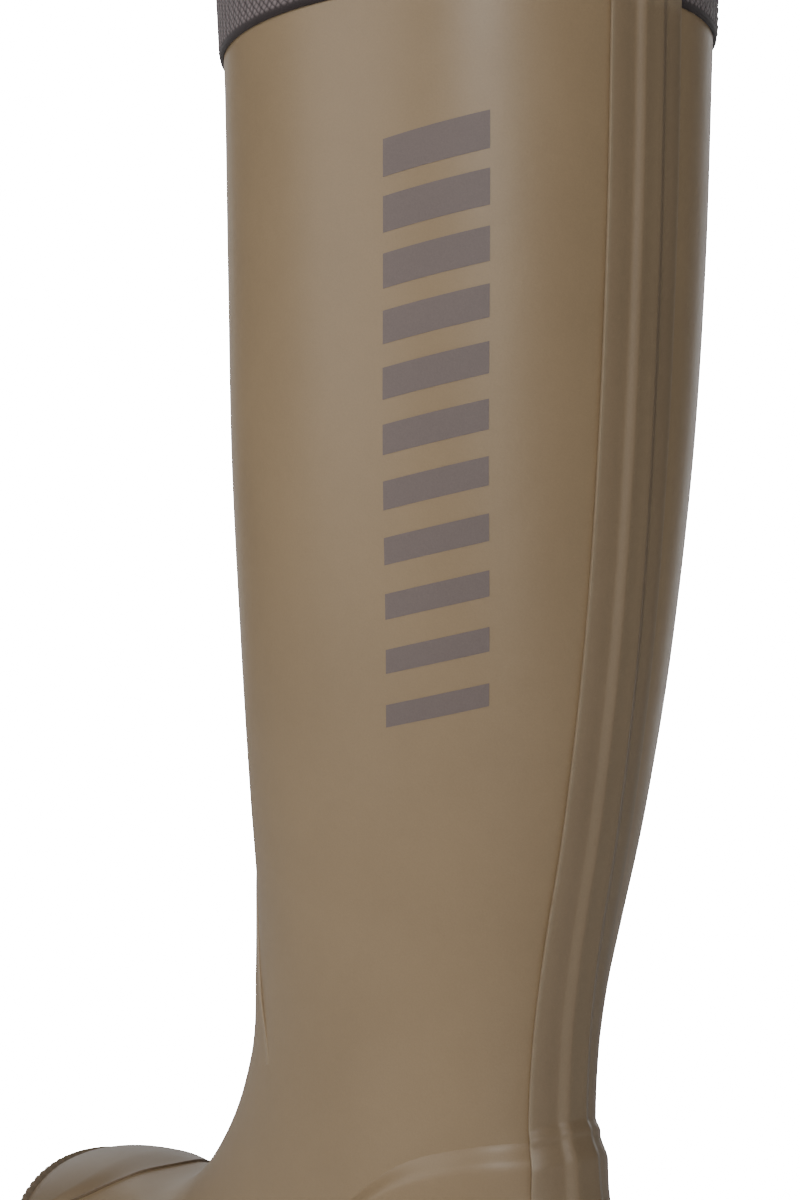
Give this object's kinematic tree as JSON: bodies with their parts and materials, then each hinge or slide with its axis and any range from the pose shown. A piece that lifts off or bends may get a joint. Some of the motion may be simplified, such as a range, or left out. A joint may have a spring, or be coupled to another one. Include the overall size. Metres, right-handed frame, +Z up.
{
  "type": "tall rubber boot",
  "caption": "Knee-high pull-on rubber boot for the left foot, with a ribbed back strip, heel counter, toe cap, textile collar tape and lugged sole.",
  "frame": {"origin": "on the ground, at the middle of the boot's length and width", "axes": "+Z up the leg, -Y towards the toe, +X towards the outer side of the left foot"},
  "size_m": [0.1248, 0.2732, 0.3953],
  "materials": {
    "upper_rubber": "satin, hand-laid natural rubber",
    "bumper_rubber": "matt, knurled",
    "outsole_rubber": "matt, moulded",
    "collar_tape": "coarse woven tape",
    "print_ink": "matt printed transfer",
    "lining_knit": "knitted jersey",
    "stiffener_fibre": "impregnated fibre",
    "footbed_cork": "pressed cork",
    "insole_fibre": "pressed fibre board",
    "shank_steel": "rolled spring steel",
    "sole_foam": "closed-cell sponge rubber"
  },
  "bodies": {
    "root": {"foot_shell": "upper_rubber", "leg_shell": "upper_rubber", "heel_counter": "upper_rubber", "toe_cap": "upper_rubber", "instep_patch": "upper_rubber", "back_strip": "upper_rubber", "foxing_strip": "upper_rubber", "toe_bumper": "bumper_rubber", "top_binding": "collar_tape", "leg_print": "print_ink", "leg_lining": "lining_knit", "foot_lining": "lining_knit", "toe_puff": "stiffener_fibre", "heel_stiffener": "stiffener_fibre", "footbed_cover": "lining_knit", "footbed": "footbed_cork", "insole_board": "insole_fibre", "shank": "shank_steel", "midsole": "sole_foam", "heel_core": "sole_foam", "outsole": "outsole_rubber"}
  },
  "joints": []
}
